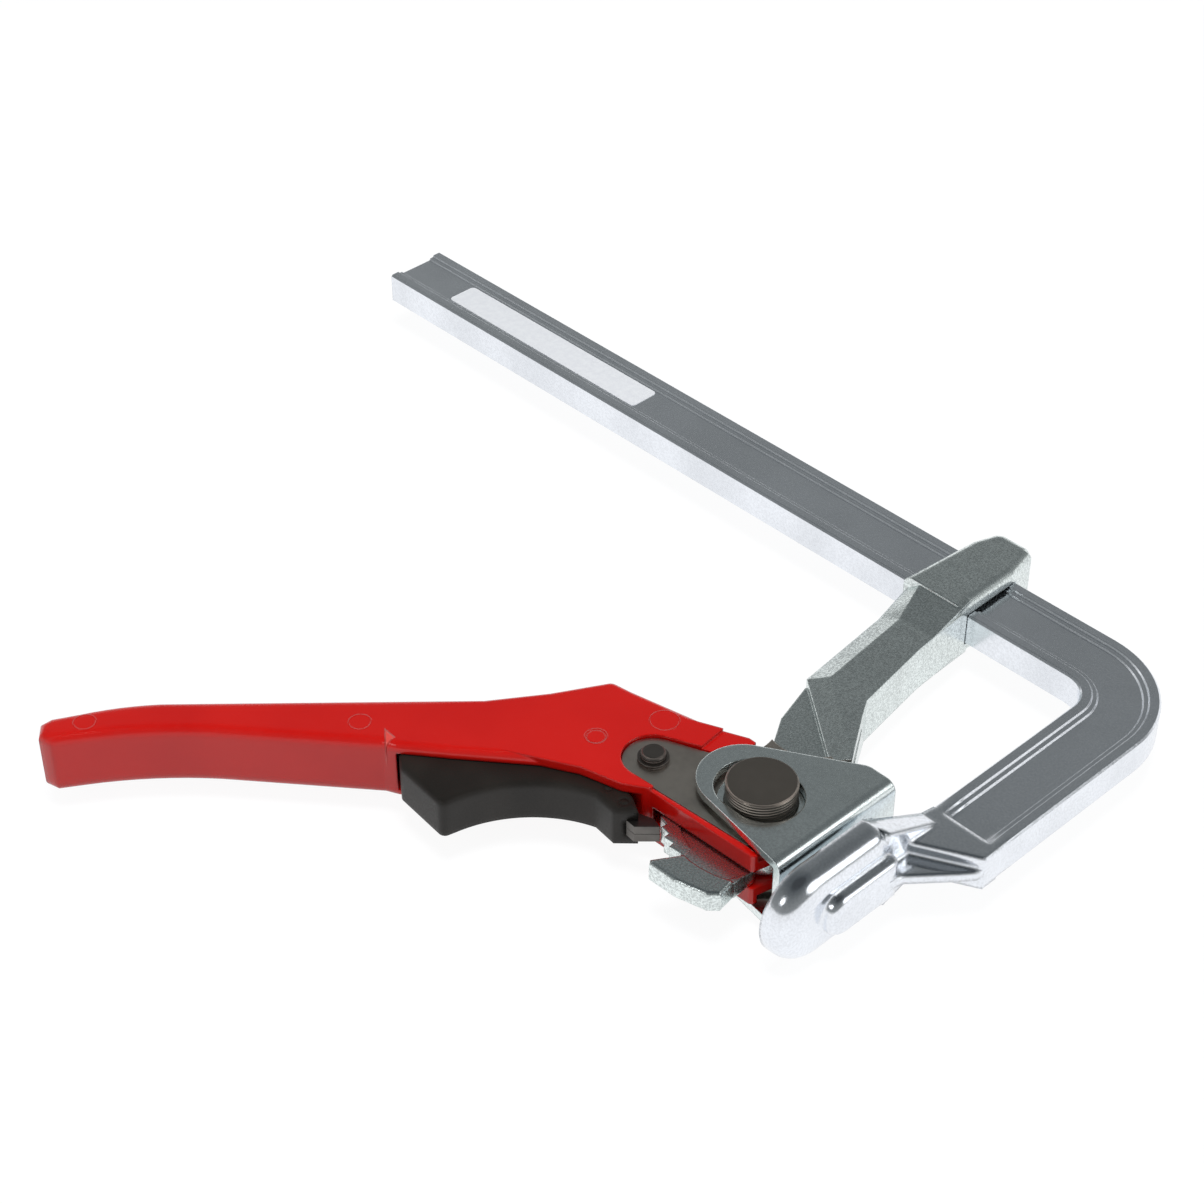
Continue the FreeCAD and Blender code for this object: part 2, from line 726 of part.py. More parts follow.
def make_arm_plate(body, tail):
    """The thin plate between the lever's cheeks, with the ratchet teeth and the thick tail that ends them."""
    teeth = []
    for number in range(round((size("tail_side") - size("first_tooth")) / size("tooth_pitch"))):
        tip = f"first_tooth + {number} * tooth_pitch"
        teeth.append(polar("tooth_valley_radius", f"{tip} - tooth_steep"))
        teeth.append(polar("tooth_tip_radius", tip))
    start = polar("tooth_valley_radius", "-52")
    sketch = new_sketch(body, "PlateOutline", "XY_Plane")
    corners = [on_pivot("neck_low"), on_pivot("neck_far_low"), on_pivot("neck_far"), start]
    bow = len(corners) - 1
    corners += teeth + [polar("tooth_valley_radius", "tail_side")]
    under = "tooth_valley_radius + tail_overlap"
    corners += [polar(under, "tail_side + 6"), polar(under, "tail_end - 6")]
    corners += [polar("tooth_valley_radius", "tail_end"), on_pivot("tail_side_low")]
    second = len(corners)
    corners += [polar("eye_plate_radius", "130"), polar("eye_plate_radius", "215")]
    corners += [on_pivot("neck_jaw"), on_pivot("neck_bend")]
    add_outline(sketch, corners, {bow: "tooth_valley_radius", second: "eye_plate_radius"})
    pad(body, "Plate", sketch, "2 * plate_half_height", both=True)
    for side, lift in (("Upper", "plate_half_height - plate_relief"), ("Lower", "plate_relief - plate_half_height")):
        relief = new_sketch(body, side + "ReliefOutline", "XY_Plane", lift)
        corners = [polar("relief_radius", "tail_side"), polar("tooth_valley_radius", "tail_side + 3")]
        corners += [polar("tooth_valley_radius", "tail_end - 6"), polar("relief_radius", "tail_end + 4")]
        corners += [polar("relief_radius", "215"), polar("relief_radius", "320")]
        rim = "relief_radius"
        add_outline(relief, corners, {1: "tooth_valley_radius", 3: rim, 4: rim, 5: rim})
        pocket(body, side + "Relief", relief, "plate_half_height", reverse=side == "Upper")
    join = body.newObject("PartDesign::Boolean", "TailOnPlate")
    join.Type = "Fuse"
    join.addObjects([tail])
    doc.recompute()


def make_tail():
    """The thick tail that ends the row of teeth, with rounded edges."""
    body = new_body("arm_tail")
    tail = new_sketch(body, "TailOutline", "XY_Plane")
    inner = "tooth_valley_radius"
    add_outline(
        tail,
        [
            polar(inner, "tail_side + 2"),
            on_pivot("tail_far_low"),
            on_pivot("tail_far_high"),
            on_pivot("tail_middle"),
            on_pivot("tail_jaw_high"),
            on_pivot("tail_jaw_low"),
            polar(inner, "tail_end"),
        ],
        {6: f"-{inner}"},
    )
    pad(body, "Tail", tail, "2 * tail_half_height", both=True)
    level = size("tail_half_height")

    def outside(edge):
        spot = middle(edge)
        reach = math.hypot(spot.x - size("pivot_x"), spot.y - size("pivot_y"))
        return reach > size(inner) + 0.5 and (at_height(edge, level) or at_height(edge, -level))

    dress(body, "Fillet", "TailEdges", "tail_edge_radius", outside)
    return body


def make_pivot_pin():
    body = doc.addObject("Part::Chamfer", "PinEnds")
    blank = cylinder("pin_blank", "pivot_x", "pivot_y", "-pin_half_length", "pin_radius", "2 * pin_half_length")
    doc.recompute()
    body.Label = "pivot_pin"
    body.Base = blank
    cut = size("pin_chamfer")
    rings = [i for i, e in enumerate(blank.Shape.Edges, start=1) if e.Length > 2 * size("pin_radius") * 3]
    body.Edges = [(i, cut, cut) for i in rings]
    doc.recompute()
    return body


def make_washer(label, side):
    """A plain ring between a cam plate and the bracket."""
    low = "cam_floor + cam_thickness + 0.1" if side > 0 else "-cam_floor - cam_thickness - 0.1 - washer_thickness"
    spot = ("pivot_x", "pivot_y", low)
    outer = cylinder(label + "_blank", *spot, "washer_radius", "washer_thickness")
    inner = cylinder(label + "_bore", *spot, "pin_radius + running_fit", "washer_thickness")
    ring = doc.addObject("Part::Cut", "Ring_" + label)
    ring.Base, ring.Tool = outer, inner
    ring.Label = label
    return ring


# Lever


def make_lever():
    body = new_body("lever_handle")
    outline = new_sketch(body, "LeverOutline", "XY_Plane")
    corners = [
        on_pivot("cheek_tip", "1.2"),
        polar("cheek_radius", "155"),
        polar("cheek_radius", "270"),
        on_pivot("chin_low"),
        on_pivot("chin"),
        on_pivot("knee_front"),
        on_pivot("knee_corner", "3"),
        on_pivot("knee_high"),
        on_pivot("knee_back"),
        on_pivot("grip_back_start"),
        on_pivot("grip_back_end"),
        on_pivot("grip_tip_back"),
        on_pivot("grip_tip_corner"),
        on_pivot("grip_tip_end"),
        on_pivot("grip_tip_finger"),
        on_pivot("grip_finger_end"),
        on_pivot("grip_finger_start"),
        on_pivot("recess_lip"),
        on_pivot("recess_end"),
        on_pivot("recess_front"),
        on_pivot("cheek_trigger"),
        on_pivot("cheek_knuckle"),
        on_pivot("cheek_shoulder"),
        on_pivot("cheek_edge"),
    ]
    bows = {1: "cheek_radius", 9: "grip_back_bow", 15: "-grip_finger_bow"}
    add_outline(outline, corners, bows)
    pad(body, "Casting", outline, "2 * lever_half_height", both=True)
    top = size("lever_half_height")
    dress(
        body,
        "Fillet",
        "CastEdges",
        "lever_edge_radius",
        lambda e: (at_height(e, top) or at_height(e, -top)) and middle(e).x > size("pivot_x + knee_front_x"),
    )
    trigger_slot = new_sketch(body, "TriggerSlot", "XY_Plane")
    names = ["inner_front", "inner_mid", "inner_pivot", "inner_low", "inner_back"]
    corners = [on_pivot("slot_" + name) for name in names]
    corners += [swing("slot_end_low"), swing("slot_end_high"), on_pivot("slot_outer")]
    add_outline(trigger_slot, corners, {5: "slot_end_radius"})
    pocket(body, "TriggerRoom", trigger_slot, "2 * trigger_gap", both=True)
    fork = new_sketch(body, "ForkGap", "XY_Plane")
    add_outline(
        fork,
        [
            polar("fork_root_radius", "200"),
            polar("fork_root_radius", "260"),
            polar("2 * fork_root_radius", "280"),
            polar("2 * fork_root_radius", "343"),
            polar("fork_root_radius", "343"),
            polar("fork_root_radius", "60"),
            polar("fork_root_radius", "150"),
        ],
        {4: "fork_root_radius", 5: "fork_root_radius"},
    )
    pocket(body, "Fork", fork, "2 * fork_gap", both=True)
    for side, lift in (("Upper", "lever_step_height"), ("Lower", "-lever_step_height")):
        step = new_sketch(body, side + "StepOutline", "XY_Plane", lift)
        add_outline(
            step,
            [
                on_pivot("cheek_tip"),
                (on_pivot("cheek_tip")[0] + " - 20", on_pivot("cheek_tip")[1] + " + 6"),
                (on_pivot("cheek_tip")[0] + " - 20", on_pivot("chin")[1] + " - 8"),
                (on_pivot("chin")[0] + " - 1", on_pivot("chin")[1] + " - 8"),
                on_pivot("chin"),
                on_pivot("cheek_edge"),
                (on_pivot("cheek_edge")[0], on_pivot("cheek_edge")[1] + " + 6"),
            ],
        )
        pocket(body, side + "Step", step, "lever_half_height", reverse=side == "Upper")
        recess = new_sketch(body, side + "CamSeat", "XY_Plane", "cam_floor" if side == "Upper" else "-cam_floor")
        seat = cam_seat_corners()
        add_outline(recess, seat[0], seat[1])
        pocket(body, side + "CamRecess", recess, "lever_half_height", reverse=side == "Upper")
    holes = new_sketch(body, "CrossHoles", "XY_Plane")
    add_circle(holes, "pivot_x", "pivot_y", "pin_radius + running_fit")
    add_circle(holes, "pivot_x + rivet_x", "pivot_y + rivet_y", "rivet_radius")
    add_circle(holes, "pivot_x + trigger_pivot_x", "pivot_y + trigger_pivot_y", "trigger_pin_radius")
    pocket(body, "Holes", holes, "4 * lever_half_height", both=True)
    return body


def swing(angle):
    """A corner of the slot's end wall, which is an arc about the trigger's pin."""
    x = f"pivot_x + trigger_pivot_x + slot_end_radius * cos({angle})"
    return (x, f"pivot_y + trigger_pivot_y + slot_end_radius * sin({angle})")


def cam_seat_corners():
    """The recess round the cam plate's link end; toward the bracket it runs out over the cheek's edge."""
    link = "(cam_link_radius + cam_clearance)"
    x, y = "pivot_x + rivet_x", "pivot_y + rivet_y"

    def rim(angle):
        return (f"{x} + {link} * cos({angle})", f"{y} + {link} * sin({angle})")

    corners = [
        rim("-66"),
        rim("95"),
        ("pivot_x + cam_shoulder_x", "pivot_y + cam_shoulder_y + cam_clearance"),
        ("pivot_x - 2 * cheek_radius", "pivot_y + cam_shoulder_y + cam_clearance"),
        ("pivot_x - 2 * cheek_radius", "pivot_y - 2 * cheek_radius"),
        ("pivot_x + cam_crotch_x - 1", "pivot_y - 2 * cheek_radius"),
        ("pivot_x + cam_crotch_x - 1", "pivot_y + cam_crotch_y - 1.4"),
    ]
    return corners, {0: link}


# Cam plates

# The involute edge runs between these two angles about the pivot.
CAM_SPAN = (140, 258)


def cam_face():
    """One cam plate's face. Toward the bracket it is an involute: the flat web of the bracket moves by the
    same amount for each degree that the lever turns, whatever part of the cam bears on it."""
    centre = Vector(size("pivot_x"), size("pivot_y"), 0)
    start, rise = size("cam_start_radius"), size("cam_rise")
    link, link_radius = centre + Vector(size("rivet_x"), size("rivet_y"), 0), size("cam_link_radius")

    def involute(degrees):
        angle = math.radians(degrees)
        reach = start + rise * (angle - math.pi)
        out = Vector(math.cos(angle), math.sin(angle), 0)
        return centre + out * reach + Vector(-out.y, out.x, 0) * rise

    def rim(degrees):
        angle = math.radians(degrees)
        return link + Vector(math.cos(angle), math.sin(angle), 0) * link_radius

    marks = [involute(CAM_SPAN[0] + (CAM_SPAN[1] - CAM_SPAN[0]) * step / 8) for step in range(9)]
    shoulder = Vector(*map(size, on_pivot("cam_shoulder")), 0)
    crotch = Vector(*map(size, on_pivot("cam_crotch")), 0)
    heel = Vector(*map(size, on_pivot("cam_heel")), 0)
    toe = (marks[-1] + heel) / 2 + Vector(heel.y - marks[-1].y, marks[-1].x - heel.x, 0) * -0.18
    hollow = (heel + crotch) / 2 + Vector(crotch.y - heel.y, heel.x - crotch.x, 0) * -0.12
    edges = [Part.Arc(*marks[step : step + 3]).toShape() for step in range(0, 8, 2)]
    edges += [
        Part.Arc(marks[-1], toe, heel).toShape(),
        Part.Arc(heel, hollow, crotch).toShape(),
        Part.LineSegment(crotch, rim(-66)).toShape(),
        Part.Arc(rim(-66), rim(10), rim(95)).toShape(),
        Part.LineSegment(rim(95), shoulder).toShape(),
        Part.LineSegment(shoulder, marks[0]).toShape(),
    ]
    return Part.Face(Part.Wire(edges))


def make_cam_plate(label, side):
    """A steel plate flush in the cheek; its holes take the pivot pin and the rivet."""
    thickness = size("cam_thickness")
    low = size("cam_floor") if side > 0 else -size("cam_floor") - thickness
    plate = cam_face().extrude(Vector(0, 0, thickness))
    axis = Vector(size("pivot_x"), size("pivot_y"), -1)
    bore = Part.makeCylinder(size("pin_radius + running_fit"), thickness + 2, axis)
    hole = Part.makeCylinder(size("rivet_radius"), thickness + 2, axis + Vector(size("rivet_x"), size("rivet_y"), 0))
    thing = doc.addObject("Part::Feature", "Cam_" + label)
    thing.Label = label
    thing.Shape = plate.cut(bore).cut(hole)
    thing.Placement = Placement(Vector(0, 0, low), Rotation())
    return thing


def make_rivet():
    blank = cylinder(
        "rivet_blank",
        "pivot_x + rivet_x",
        "pivot_y + rivet_y",
        "-rivet_half_length",
        "rivet_radius",
        "2 * rivet_half_length",
    )
    doc.recompute()
    body = doc.addObject("Part::Chamfer", "RivetEnds")
    body.Label = "cam_rivet"
    body.Base = blank
    cut = size("rivet_chamfer")
    body.Edges = [(i, cut, cut) for i, e in enumerate(blank.Shape.Edges, start=1) if e.Length < 30 and e.Length > 12 and len(e.Vertexes) == 1]
    doc.recompute()
    return body


def make_collar(label, side):
    """A push-on collar that holds the cam plate on the rivet."""
    low = "cam_floor + cam_thickness" if side > 0 else "-cam_floor - cam_thickness - collar_height"
    spot = ("pivot_x + rivet_x", "pivot_y + rivet_y", low)
    outer = cylinder(label + "_blank", *spot, "collar_radius", "collar_height")
    inner = cylinder(label + "_bore", *spot, "rivet_radius", "collar_height")
    ring = doc.addObject("Part::Cut", "Ring_" + label)
    ring.Base, ring.Tool = outer, inner
    ring.Label = label
    return ring


# Pressure bracket


def make_bracket():
    body = new_body("pressure_bracket")
    outline = new_sketch(body, "BracketOutline", "XY_Plane")
    add_outline(
        outline,
        [
            ("bracket_face", "bracket_low"),
            ("bracket_face + 9.4", "bracket_low", "bracket_foot_radius"),
            point("bracket_peak") + ("bracket_lobe_radius",),
            ("bracket_face", "bracket_high"),
        ],
    )
    pad(body, "Block", outline, "2 * bracket_half_height", both=True)
    inside = new_sketch(body, "BracketInside", "XY_Plane")
    add_outline(
        inside,
        [
            ("bracket_face + bracket_sheet", "bracket_low - 10"),
            ("bracket_face + 80", "bracket_low - 10"),
            ("bracket_face + 80", "bracket_high + 10"),
            ("bracket_face + bracket_sheet", "bracket_high + 10"),
        ],
    )
    pocket(body, "Inside", inside, "2 * (bracket_half_height - bracket_sheet)", both=True)
    face, half = size("bracket_face"), size("bracket_half_height")

    def outer_bend(edge):
        box = edge.BoundBox
        return abs(box.XMin - face) < 1e-4 and abs(box.XMax - face) < 1e-4 and (at_height(edge, half) or at_height(edge, -half))

    def inner_bend(edge):
        box = edge.BoundBox
        wall, level = size("bracket_face + bracket_sheet"), size("bracket_half_height - bracket_sheet")
        return abs(box.XMin - wall) < 1e-4 and abs(box.XMax - wall) < 1e-4 and (at_height(edge, level) or at_height(edge, -level))

    dress(body, "Fillet", "OuterBends", "bracket_bend", outer_bend)
    dress(body, "Fillet", "InnerBends", "bracket_bend - bracket_sheet", inner_bend)
    slot = new_sketch(body, "PinSlot", "XY_Plane")
    add_stadium(slot, "pivot_x - slot_back", "pivot_x + slot_front", "pivot_y", "slot_half_width")
    pocket(body, "Slot", slot, "4 * bracket_half_height", both=True)
    return body


# Trigger and pawl

# Straight runs in one turn of the spring.
SPRING_STEPS = 12


def make_trigger():
    body = new_body("trigger")
    outline = new_sketch(body, "TriggerOutline", "XY_Plane")
    corners = [
        on_pivot("trigger_nose"),
        on_pivot("trigger_tooth"),
        on_pivot("trigger_throat"),
        on_pivot("trigger_neck", "3"),
        on_pivot("trigger_heel_front", "3.5"),
        on_pivot("trigger_heel_back", "3.5"),
        on_pivot("trigger_spine"),
        on_pivot("trigger_tail_inner", "2.4"),
        on_pivot("trigger_tail_mid", "5"),
        on_pivot("trigger_tail_outer", "2.4"),
        on_pivot("trigger_hook", "2"),
        on_pivot("trigger_hook_low"),
        on_pivot("trigger_finger"),
    ]
    add_outline(outline, corners, {len(corners) - 2: "-trigger_finger_bow"})
    pad(body, "Grip", outline, "2 * trigger_half_height", both=True)
    half = size("trigger_half_height")
    dress(body, "Chamfer", "GripEdges", "trigger_edge", lambda e: at_height(e, half) or at_height(e, -half))
    slot = new_sketch(body, "PawlSlot", "XY_Plane")
    add_outline(slot, pawl_slot_corners())
    pocket(body, "PawlRoom", slot, "2 * (pawl_thickness + pawl_gap + pawl_slot_clearance)", both=True)
    holes = new_sketch(body, "TriggerHoles", "XY_Plane")
    add_circle(holes, "pivot_x + trigger_pivot_x", "pivot_y + trigger_pivot_y", "trigger_pin_radius + running_fit")
    for name in ("front", "rear"):
        add_circle(holes, *on_pivot("pawl_rivet_" + name), "pawl_rivet_radius")
    pocket(body, "Holes", holes, "4 * trigger_half_height", both=True)
    return body


def pawl_slot_corners():
    grow = "pawl_slot_clearance"
    return [
        ("pivot_x + pawl_inner_x - 4", "pivot_y + pawl_inner_y - 4"),
        ("pivot_x + pawl_rear_low_x + " + grow, "pivot_y + pawl_rear_low_y - 4"),
        ("pivot_x + pawl_rear_high_x + " + grow, "pivot_y + pawl_rear_high_y + " + grow),
        ("pivot_x + pawl_outer_x - 4", "pivot_y + pawl_outer_y + " + grow + " + 0.2"),
    ]


def make_pawl_plate(label, side):
    body = new_body(label)
    sketch = new_sketch(body, "PawlOutline", "XY_Plane", "pawl_gap" if side > 0 else "-pawl_gap")
    tip = polar("tooth_tip_radius + pawl_clearance", "pawl_angle")
    corners = [tip, on_pivot("pawl_inner"), on_pivot("pawl_inner_back"), on_pivot("pawl_rear_low")]
    corners += [on_pivot("pawl_rear_high"), on_pivot("pawl_outer")]
    add_outline(sketch, corners)
    pad(body, "Plate", sketch, "pawl_thickness", reverse=side < 0)
    holes = new_sketch(body, "RivetHoles", "XY_Plane")
    for name in ("front", "rear"):
        add_circle(holes, *on_pivot("pawl_rivet_" + name), "pawl_rivet_radius")
    pocket(body, "Holes", holes, "4 * pawl_thickness", both=True)
    return body


def make_spring():
    """A small compression spring, square to the slot's back wall, that bears on the trigger's spine. Its
    wire is a hexagon that goes round in short straight runs."""
    low, high = (Vector(*map(size, on_pivot(name)), 0) for name in ("trigger_spine", "trigger_tail_inner"))
    wall, wall_end = (Vector(*map(size, corner), 0) for corner in (on_pivot("slot_inner_back"), swing("slot_end_low")))
    head = low + (high - low) * size("spring_place")
    along = (wall_end - wall).normalize()
    inward = head - wall - along * (head - wall).dot(along)
    wire, seat = size("spring_wire"), size("spring_seat")
    length = inward.Length - 2 * seat - wire
    count = round(size("spring_turns") * SPRING_STEPS)
    radius = size("spring_radius")
    turn = 2 * math.pi / SPRING_STEPS
    path = [
        Vector(radius * math.cos(turn * k), radius * math.sin(turn * k), length * k / count) for k in range(count + 1)
    ]
    ahead = (path[1] - path[0]).normalize()
    side = ahead.cross(Vector(1, 0, 0)).normalize()
    out = side.cross(ahead)
    ring = []
    for k in range(7):
        angle = k * math.pi / 3
        ring.append(path[0] + (out * math.cos(angle) + side * math.sin(angle)) * wire / 2)
    section = Part.Wire(Part.makePolygon(ring))
    coil = Part.Wire(Part.makePolygon(path)).makePipeShell([section], True, True, 1)
    thing = doc.addObject("Part::Feature", "Coil")
    thing.Label = "trigger_spring"
    thing.Shape = coil
    foot = head - inward + inward.normalize() * (seat + wire / 2)
    thing.Placement = Placement(foot, Rotation(Vector(0, 0, 1), inward))
    return thing


SUB_PARTS = [
    make_rail(),
    make_label(),
    make_sliding_arm(),
    make_pivot_pin(),
    make_washer("pivot_washer_top", 1),
    make_washer("pivot_washer_bottom", -1),
    make_lever(),
    make_cam_plate("cam_plate_top", 1),
    make_cam_plate("cam_plate_bottom", -1),
    make_rivet(),
    make_collar("rivet_collar_top", 1),
    make_collar("rivet_collar_bottom", -1),
    make_bracket(),
    make_trigger(),
    cylinder(
        "trigger_pin",
        "pivot_x + trigger_pivot_x",
        "pivot_y + trigger_pivot_y",
        "-lever_half_height",
        "trigger_pin_radius",
        "2 * lever_half_height",
    ),
    make_pawl_plate("pawl_plate_top", 1),
    make_pawl_plate("pawl_plate_bottom", -1),
    cylinder(
        "pawl_rivet_front",
        *on_pivot("pawl_rivet_front"),
        "-trigger_half_height",
        "pawl_rivet_radius",
        "2 * trigger_half_height",
    ),
    cylinder(
        "pawl_rivet_rear",
        *on_pivot("pawl_rivet_rear"),
        "-trigger_half_height",
        "pawl_rivet_radius",
        "2 * trigger_half_height",
    ),
    make_spring(),
]
doc.recompute()

for thing in doc.Objects:
    if "Invalid" in thing.State or "Error" in thing.State:
        raise RuntimeError(f"{thing.Label} failed: {thing.State}")
for thing in SUB_PARTS:
    if thing.Shape.isNull() or not thing.Shape.isValid():
        raise RuntimeError(f"{thing.Label} has no valid shape")

os.makedirs("parts", exist_ok=True)
for thing in SUB_PARTS:
    thing.Shape.exportStep(f"parts/{thing.Label}.step")
    box = thing.Shape.BoundBox
    print(
        f"{thing.Label}: {len(thing.Shape.Solids)} solid, {thing.Shape.Volume:.0f} mm3, "
        f"x {box.XMin:.1f} to {box.XMax:.1f}, y {box.YMin:.1f} to {box.YMax:.1f}, z {box.ZMin:.1f} to {box.ZMax:.1f}"
    )
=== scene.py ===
# %% [markdown]
# # A quick release bar clamp
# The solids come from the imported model: a forged rail with its fixed jaw, a sliding arm, a red cam lever,
# a sheet bracket and the small steel pieces of the ratchet. This script gives each of them its finish,
# winds the one piece that a mesh shows better, the trigger's spring, and sets up a white table with soft
# light. Everything is in metres, in the model's own frame: X along the rail, Y toward the jaw tips, Z up.

# %% Load the model
import math

import bmesh
import bpy
from mathutils import Matrix, Vector


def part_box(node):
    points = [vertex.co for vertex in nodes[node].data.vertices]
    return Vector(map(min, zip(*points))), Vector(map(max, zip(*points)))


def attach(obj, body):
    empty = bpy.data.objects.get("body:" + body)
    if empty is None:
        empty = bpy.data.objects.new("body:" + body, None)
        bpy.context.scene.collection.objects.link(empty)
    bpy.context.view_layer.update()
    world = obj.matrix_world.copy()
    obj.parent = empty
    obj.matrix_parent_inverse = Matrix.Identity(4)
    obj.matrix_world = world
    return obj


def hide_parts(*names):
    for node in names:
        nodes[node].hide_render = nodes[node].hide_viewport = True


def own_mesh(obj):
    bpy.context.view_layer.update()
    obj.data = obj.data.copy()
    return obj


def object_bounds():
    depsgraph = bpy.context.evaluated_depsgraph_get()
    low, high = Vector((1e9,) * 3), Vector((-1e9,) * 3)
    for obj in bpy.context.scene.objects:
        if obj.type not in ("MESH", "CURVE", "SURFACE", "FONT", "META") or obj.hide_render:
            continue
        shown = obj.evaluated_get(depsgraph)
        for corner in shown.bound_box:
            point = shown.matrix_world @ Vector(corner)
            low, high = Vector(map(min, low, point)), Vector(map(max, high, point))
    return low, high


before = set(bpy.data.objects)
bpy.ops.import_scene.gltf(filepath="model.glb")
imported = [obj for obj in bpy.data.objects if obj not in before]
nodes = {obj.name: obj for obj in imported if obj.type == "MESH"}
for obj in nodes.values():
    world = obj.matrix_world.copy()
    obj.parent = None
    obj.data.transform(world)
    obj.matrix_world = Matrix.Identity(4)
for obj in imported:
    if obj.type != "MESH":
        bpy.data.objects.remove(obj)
cad_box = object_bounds()
MM = 0.001
print("loaded", len(nodes), "nodes")

# %% [markdown]
# ## The camera
# The photograph is taken with a long lens from above the jaw's back, and shows the lever and the rail at
# once. A camera could be aimed by eye until the picture fits. Here its place was solved from the rail's
# straight edges and the round pins, so it is set by numbers and stays level: no roll and no shift.

# %% Camera
AZIMUTH, ELEVATION = math.radians(226.345), math.radians(38.747)
CAMERA_PLACE = Vector((-293.5, 361.0, 460.1)) * MM
FOCAL_PIXELS, PHOTO_PIXELS, SENSOR = 2546.5, 1204, 36.0

camera_data = bpy.data.cameras.new("camera")
camera = bpy.data.objects.new("camera", camera_data)
bpy.context.scene.collection.objects.link(camera)
camera.location = CAMERA_PLACE
camera.rotation_euler = (math.pi / 2 - ELEVATION, 0.0, AZIMUTH)
camera_data.sensor_width = SENSOR
camera_data.lens = FOCAL_PIXELS / PHOTO_PIXELS * SENSOR
camera_data.clip_start = 0.01
camera_data.clip_end = 20.0
bpy.context.scene.camera = camera
print("camera lens", round(camera_data.lens, 1), "mm")

# %% [markdown]
# ## Writing shaders as sums
# A material is a tree of small nodes. Wiring it by hand, link by link, hides the idea. So one class wraps an
# output socket and lets Python's own signs add the Math nodes, and the sums below read like sums.

# %% Sockets that can be added up


class Value:
    """A number that varies over the surface: an output socket with the arithmetic signs."""

    def __init__(self, finish, socket):
        self.finish = finish
        self.socket = socket

    def _sum(self, operation, first, second):
        return self.finish.node("Math", {"operation": operation}, {0: first, 1: second})

    def __add__(self, other):
        return self._sum("ADD", self, other)

    def __radd__(self, other):
        return self._sum("ADD", other, self)

    def __sub__(self, other):
        return self._sum("SUBTRACT", self, other)

    def __rsub__(self, other):
        return self._sum("SUBTRACT", other, self)

    def __mul__(self, other):
        return self._sum("MULTIPLY", self, other)

    def __rmul__(self, other):
        return self._sum("MULTIPLY", other, self)

    def __truediv__(self, other):
        return self._sum("DIVIDE", self, other)

    def __rtruediv__(self, other):
        return self._sum("DIVIDE", other, self)

    def __pow__(self, other):
        return self._sum("POWER", self, other)

    def __rpow__(self, other):
        return self._sum("POWER", other, self)


print("sums of sockets ready")

# %% [markdown]
# ## A shader under construction
# Every other node comes from one method that takes the node's type, its settings and its inputs. The short
# methods around it are the few moves that all the finishes share: noise, a held span, a blend of colours,
# a bump, and edges that look rounded. The room behind the table is a tree of the same kind, so the class
# takes a material or a world.

# %% The class for materials and the world
MIX_FIRST, MIX_SECOND, MIX_RESULT = 4, 5, 1
EDGE_SAMPLES = 12
SEEN_RAYS = ("Is Camera Ray", "Is Glossy Ray", "Is Transmission Ray")


class Finish:
    """The node tree of a material or a world. Numbers and links go in by the name or place of a socket."""

    def __init__(self, owner):
        owner.use_nodes = True
        self.owner = owner
        self.tree = owner.node_tree
        self.tree.nodes.clear()
        self.place = self.node("TexCoord", output="Object")

    def node(self, kind, settings=None, inputs=None, output=0):
        made = self.tree.nodes.new("ShaderNode" + kind)
        for key, setting in (settings or {}).items():
            setattr(made, key, setting)
        for key, given in (inputs or {}).items():
            if isinstance(given, Value):
                self.tree.links.new(given.socket, made.inputs[key])
            else:
                made.inputs[key].default_value = given
        return Value(self, made.outputs[output])

    def outputs(self, kind, inputs=None):
        """All the outputs of a node, by name or place."""
        return self.node(kind, None, inputs).socket.node.outputs

    def noise(self, scale, detail=2.0, rough=0.5, stretch=(1, 1, 1)):
        spot = self.node("Mapping", None, {"Vector": self.place, "Scale": stretch})
        lumps = {"Vector": spot, "Scale": scale, "Detail": detail, "Roughness": rough}
        return self.node("TexNoise", None, lumps)

    def steps(self, value, low, high, low_out=0.0, high_out=1.0):
        """value taken from the span low to high onto another span, held at its ends."""
        span = {"Value": value, "From Min": low, "From Max": high, "To Min": low_out, "To Max": high_out}
        return self.node("MapRange", {"interpolation_type": "SMOOTHSTEP"}, span)

    def blend(self, amount, first, second):
        """A colour between two colours."""
        return self.node("MixRGB", None, {"Fac": amount, "Color1": first, "Color2": second})

    def between(self, amount, first, second):
        """A direction between two directions."""
        sides = {0: amount, MIX_FIRST: first, MIX_SECOND: second}
        return self.node("Mix", {"data_type": "VECTOR"}, sides, MIX_RESULT)

    def axes(self):
        """X, Y and Z of the place on the object."""
        parts = self.outputs("SeparateXYZ", {0: self.place})
        return [Value(self, part) for part in parts]

    def bump(self, height, distance, under=None):
        """A normal that leans as if height, times distance, stood up from the normal under it."""
        inputs = {"Height": height, "Distance": distance, "Strength": 1.0}
        if under:
            inputs["Normal"] = under
        return self.node("Bump", None, inputs)

    def soft_edges(self, radius):
        """A normal that is rounded where two faces meet, as a forged or moulded edge is."""
        return self.node("Bevel", {"samples": EDGE_SAMPLES}, {"Radius": radius})

    def seen(self):
        """1 for what is seen straight, in a mirror or through glass, and 0 for soft light."""
        light = self.outputs("LightPath")
        most = 0.0
        for ray in SEEN_RAYS:
            most = self.node("Math", {"operation": "MAXIMUM"}, {0: most, 1: Value(self, light[ray])})
        return most

    def close(self, shader, kind="Material"):
        """Ends the tree in a shader."""
        end = self.tree.nodes.new("ShaderNodeOutput" + kind)
        self.tree.links.new(shader.socket, end.inputs["Surface"])
        return self.owner

    def surface(self, **inputs):
        """Ends in the surface shader. Underscores in the names stand for spaces."""
        named = {key.replace("_", " "): given for key, given in inputs.items()}
        return self.close(self.node("BsdfPrincipled", None, named))


def new_finish(name):
    return Finish(bpy.data.materials.new(name))


def tone(red, green, blue):
    return (red, green, blue, 1.0)


